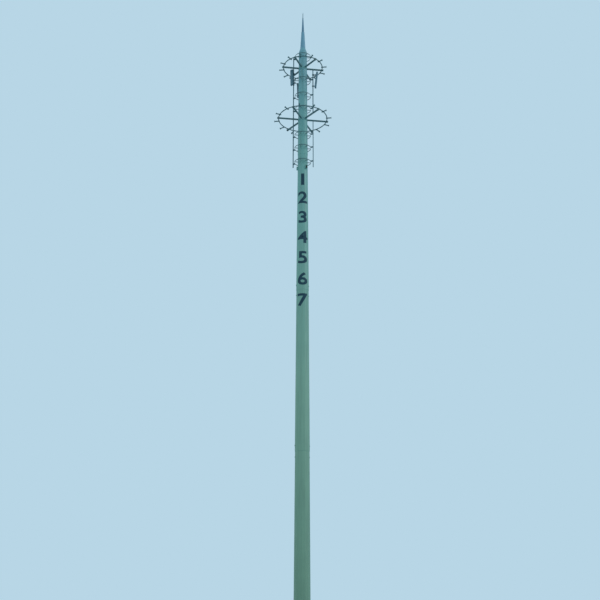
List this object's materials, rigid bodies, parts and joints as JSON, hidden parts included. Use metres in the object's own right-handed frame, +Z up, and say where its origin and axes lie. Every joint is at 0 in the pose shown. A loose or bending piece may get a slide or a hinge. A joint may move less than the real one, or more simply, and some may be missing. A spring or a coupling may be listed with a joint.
{
  "type": "monopole cell tower",
  "caption": "Tapered tubular steel mast with service hoops, two open antenna platforms, tilting panel antennas and a lightning spire.",
  "frame": {"origin": "centre of the underside of the base flange", "axes": "+Z up the shaft; the camera of the picture looks along +Y, with +X to its right"},
  "size_m": [3.6806, 3.6806, 39.38],
  "materials": {
    "shaft_paint": "weathered grey-green paint",
    "ring_steel": "dull dark blue-green paint",
    "fitting_steel": "weathered galvanised steel",
    "rod_steel": "dull galvanised steel",
    "radome": "matte weathered blue-grey shell"
  },
  "bodies": {
    "tower": {"access_cover": "shaft_paint", "access_frame": "shaft_paint", "base_flange": "shaft_paint", "base_gussets": "shaft_paint", "cable_ports": "shaft_paint", "hoop_1": "ring_steel", "hoop_2": "ring_steel", "hoop_3": "ring_steel", "hoop_4": "ring_steel", "hoop_5": "ring_steel", "hoop_6": "ring_steel", "hoop_7": "ring_steel", "left_antenna_brackets": "fitting_steel", "left_conduit": "ring_steel", "left_pipe_clamps": "fitting_steel", "lightning_rod": "rod_steel", "lower_platform_frame": "ring_steel", "lower_platform_ring": "ring_steel", "lower_platform_stubs": "ring_steel", "rear_antenna_brackets": "fitting_steel", "rear_mast": "ring_steel", "rear_pipe_clamps": "fitting_steel", "right_antenna_brackets": "fitting_steel", "right_conduit": "ring_steel", "right_mast": "ring_steel", "right_pipe_clamps": "fitting_steel", "shaft_section_1": "shaft_paint", "shaft_section_2": "shaft_paint", "shaft_section_3": "shaft_paint", "shaft_section_4": "shaft_paint", "shaft_section_5": "shaft_paint", "spire_lower": "shaft_paint", "spire_upper": "shaft_paint", "top_cone": "shaft_paint", "upper_platform_frame": "ring_steel", "upper_platform_ring": "ring_steel", "upper_platform_stubs": "ring_steel"},
    "left_antenna": {"left_antenna_panel": "radome", "left_antenna_caps": "radome", "left_antenna_lugs": "fitting_steel"},
    "right_antenna": {"right_antenna_panel": "radome", "right_antenna_caps": "radome", "right_antenna_lugs": "fitting_steel"},
    "rear_antenna": {"rear_antenna_panel": "radome", "rear_antenna_caps": "radome", "rear_antenna_lugs": "fitting_steel"}
  },
  "joints": [
    {"name": "left_antenna_tilt", "type": "hinge", "parent": "tower", "child": "left_antenna", "pos_m": [-0.66131, 0.17624, 33.84], "axis": [0.788, -0.6157, 0], "range_deg": [-2, 8]},
    {"name": "right_antenna_tilt", "type": "hinge", "parent": "tower", "child": "right_antenna", "pos_m": [0.74672, -0.21394, 33.445], "axis": [0.1392, 0.9903, 0], "range_deg": [-6, 4]},
    {"name": "rear_antenna_tilt", "type": "hinge", "parent": "tower", "child": "rear_antenna", "pos_m": [-0.23527, 0.70427, 33.31], "axis": [-0.9272, -0.3746, 0], "range_deg": [-4, 6]}
  ]
}
